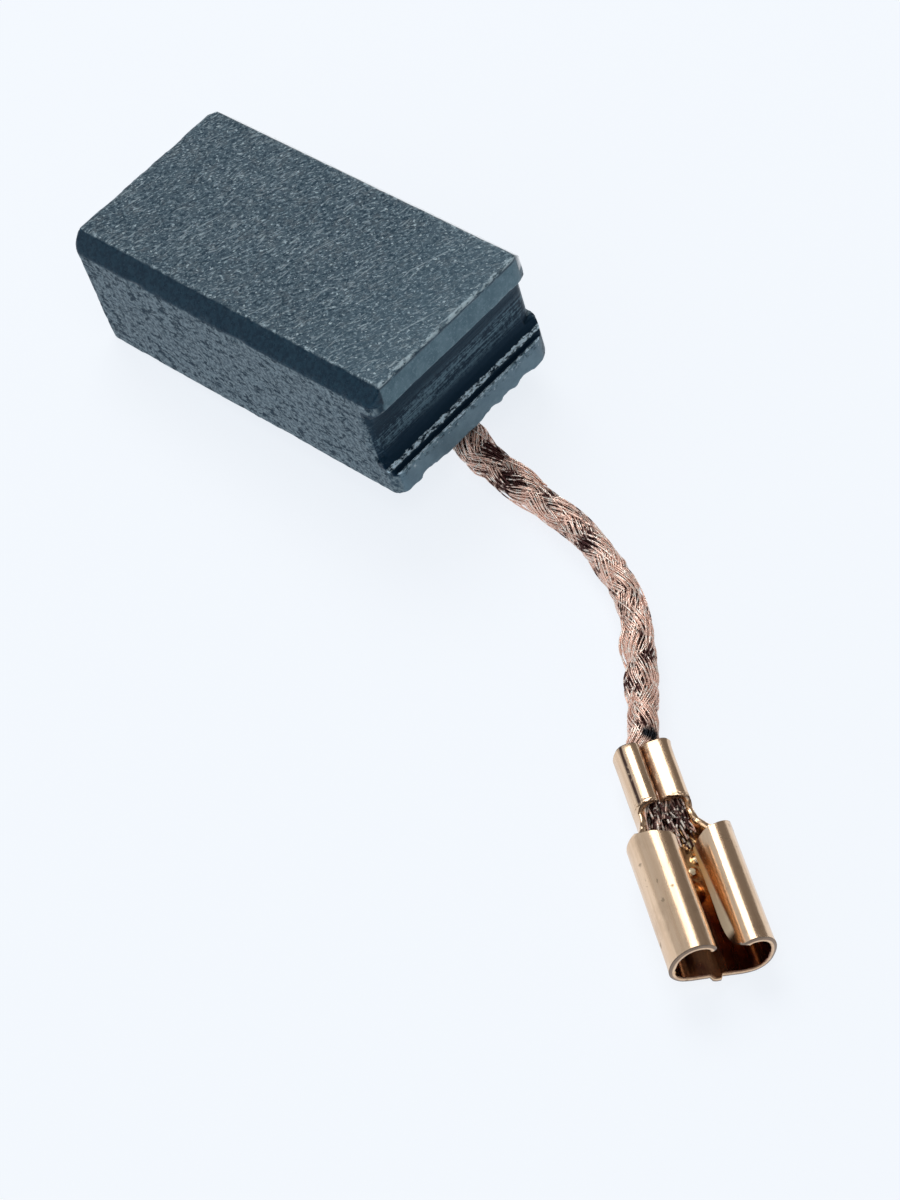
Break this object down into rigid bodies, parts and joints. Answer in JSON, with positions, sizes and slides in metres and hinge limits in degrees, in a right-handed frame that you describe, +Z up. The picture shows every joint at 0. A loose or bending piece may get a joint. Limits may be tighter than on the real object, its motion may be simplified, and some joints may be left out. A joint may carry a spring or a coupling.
{
  "type": "carbon brush",
  "caption": "Rectangular carbon brush block with chamfered long edges and a spring seat across its end, on a short plaited copper shunt crimped into a folded brass push-on receptacle.",
  "frame": {"origin": "on the table, under the middle of the carbon block's box as the brush lies at rest", "axes": "+X from the working face along the block towards the shunt end, level with the table; +Y to the left of that; +Z up. The block itself is propped up 6 degrees at the shunt end."},
  "size_m": [0.036, 0.0165, 0.0065],
  "materials": {
    "carbon": "ground graphite, dark blue-grey with a low sheen, fine grinding scratches and small pits",
    "powder": "pressed copper and graphite powder, dark brown and matt",
    "copper": "bare copper wire, plaited, bright on its crests and dark brown between",
    "brass": "bright pale brass sheet with brown tarnish in its folds"
  },
  "bodies": {
    "root": {"carbon_block": "carbon", "tamped_powder": "powder", "shunt_braid": "copper", "receptacle_terminal": "brass"}
  },
  "joints": []
}
